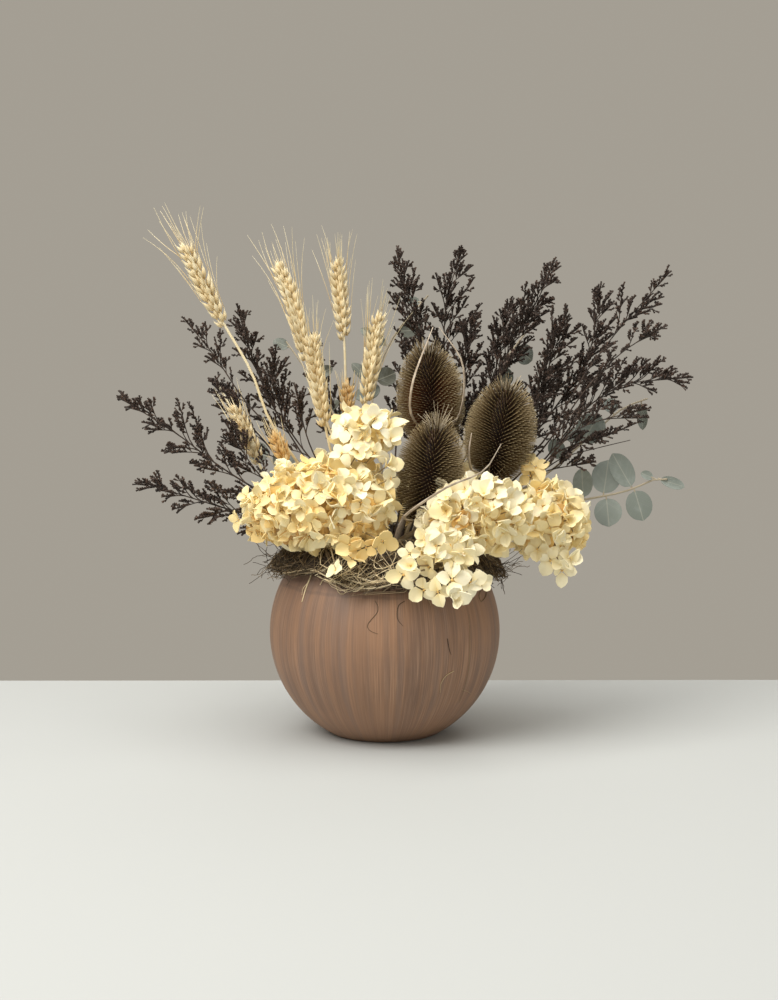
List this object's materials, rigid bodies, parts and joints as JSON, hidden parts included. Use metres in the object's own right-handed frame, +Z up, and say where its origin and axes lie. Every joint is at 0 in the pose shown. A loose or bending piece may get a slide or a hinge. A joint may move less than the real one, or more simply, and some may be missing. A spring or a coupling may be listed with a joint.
{
  "type": "vase of dried flowers",
  "caption": "Round brown terracotta-finish vase with dried wheat, teasels, cream hydrangeas, dark limonium sprays and eucalyptus standing in foam under a wood wool collar.",
  "frame": {"origin": "middle of the vase's flat foot, on the surface that it stands on", "axes": "+Z up through the vase's mouth, -Y towards the viewer of the picture, +X to the viewer's right and along the arrangement's widest spread"},
  "size_m": [0.4476, 0.2308, 0.409],
  "materials": {
    "terracotta": "satin",
    "dry_foam": "matte",
    "wood_wool": "matte",
    "straw": "matte",
    "dark_sprays": "matte",
    "teasel_heads": "matte",
    "cream_petals": "matte",
    "grey_leaves": "matte"
  },
  "bodies": {
    "root": {"vase": "terracotta", "foam_block": "dry_foam", "wood_wool_collar": "wood_wool", "wheat_1": "straw", "wheat_2": "straw", "wheat_3": "straw", "wheat_4": "straw", "wheat_5": "straw", "wheat_6": "straw", "wheat_7": "straw", "wheat_8": "straw", "limonium_1": "dark_sprays", "limonium_2": "dark_sprays", "limonium_3": "dark_sprays", "limonium_4": "dark_sprays", "limonium_5": "dark_sprays", "limonium_6": "dark_sprays", "limonium_7": "dark_sprays", "limonium_8": "dark_sprays", "limonium_9": "dark_sprays", "limonium_10": "dark_sprays", "limonium_11": "dark_sprays", "limonium_12": "dark_sprays", "limonium_13": "dark_sprays", "limonium_14": "dark_sprays", "limonium_15": "dark_sprays", "limonium_16": "dark_sprays", "limonium_17": "dark_sprays", "limonium_18": "dark_sprays", "limonium_19": "dark_sprays", "limonium_20": "dark_sprays", "limonium_21": "dark_sprays", "limonium_22": "dark_sprays", "limonium_23": "dark_sprays", "teasel_1": "teasel_heads", "teasel_2": "teasel_heads", "teasel_3": "teasel_heads", "hydrangea_1": "cream_petals", "hydrangea_2": "cream_petals", "hydrangea_3": "cream_petals", "hydrangea_4": "cream_petals", "hydrangea_5": "cream_petals", "hydrangea_6": "cream_petals", "eucalyptus_1": "grey_leaves", "eucalyptus_2": "grey_leaves", "eucalyptus_3": "grey_leaves", "eucalyptus_4": "grey_leaves", "eucalyptus_5": "grey_leaves", "eucalyptus_6": "grey_leaves"}
  },
  "joints": []
}
